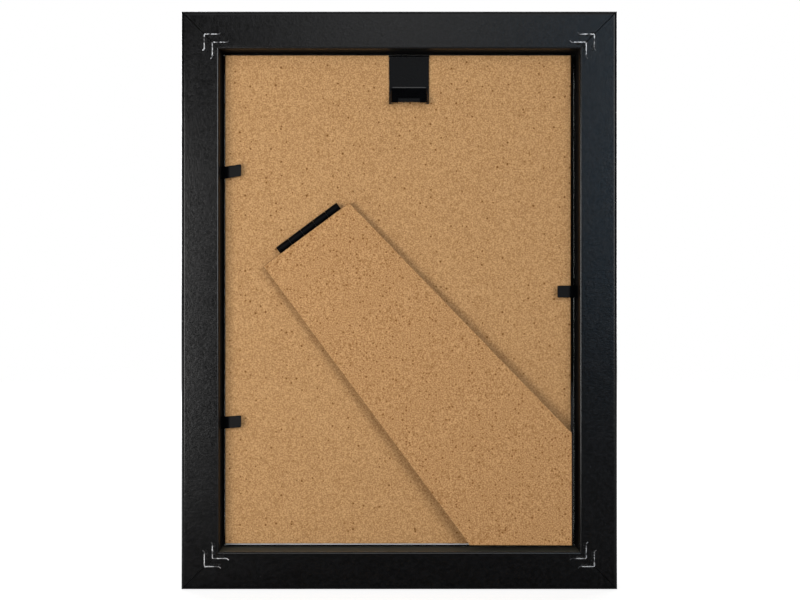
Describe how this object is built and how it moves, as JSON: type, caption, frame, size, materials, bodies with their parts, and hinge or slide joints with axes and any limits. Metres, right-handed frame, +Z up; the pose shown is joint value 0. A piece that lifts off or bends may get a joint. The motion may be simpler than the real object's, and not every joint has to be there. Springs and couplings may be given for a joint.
{
  "type": "easel back photo frame",
  "caption": "Black picture frame of mitred rails with glass, a loose hardboard back held by flexible tabs, a clip hanger and a folding easel strut on a hinge.",
  "frame": {"origin": "middle of the bottom rail's underside, at half the rails' depth", "axes": "+Z up the portrait frame, +Y out of the back, so the picture faces -Y and +X is to the right as seen from the front"},
  "size_m": [0.184, 0.018, 0.244],
  "materials": {
    "black_foil": "satin black foil with a fine grain over wood fibre",
    "hardboard": "bare hardboard, speckled with dark fibres",
    "black_steel": "black lacquered sheet",
    "bright_steel": "plain steel",
    "glass": "clear float",
    "paper": "matt white sheet"
  },
  "bodies": {
    "frame": {"rail_bottom": "black_foil", "rail_top": "black_foil", "rail_right": "black_foil", "rail_left": "black_foil", "v_nails_bottom_left": "bright_steel", "v_nails_bottom_right": "bright_steel", "v_nails_top_left": "bright_steel", "v_nails_top_right": "bright_steel", "glass_pane": "glass", "picture_insert": "paper", "backing_board": "hardboard", "hanger_clip": "black_steel", "hinge_fixed_leaf": "black_steel", "hinge_pin": "black_steel", "tab_shank_right_upper": "black_steel", "tab_shank_right_lower": "black_steel", "tab_shank_left_middle": "black_steel"},
    "strut": {"easel_strut": "hardboard", "hinge_strut_leaf": "black_steel"},
    "tab_right_upper": {"tab_blade_right_upper": "black_steel"},
    "tab_right_lower": {"tab_blade_right_lower": "black_steel"},
    "tab_left_middle": {"tab_blade_left_middle": "black_steel"}
  },
  "joints": [
    {"name": "strut_swing", "type": "hinge", "parent": "frame", "child": "strut", "pos_m": [0.0387, 0.0025, 0.15275], "axis": [0.8028, 0, -0.5962], "range_deg": [-1.3, 38.7]},
    {"name": "tab_right_upper_bend", "type": "hinge", "parent": "frame", "child": "tab_right_upper", "pos_m": [0.07565, 0.0019, 0.17625], "axis": [0, 0, -1], "range_deg": [-17, 72]},
    {"name": "tab_right_lower_bend", "type": "hinge", "parent": "frame", "child": "tab_right_lower", "pos_m": [0.07565, 0.0019, 0.0698], "axis": [0, 0, -1], "range_deg": [-17, 72]},
    {"name": "tab_left_middle_bend", "type": "hinge", "parent": "frame", "child": "tab_left_middle", "pos_m": [-0.07565, 0.0019, 0.1257], "axis": [0, 0, 1], "range_deg": [-17, 72]}
  ]
}
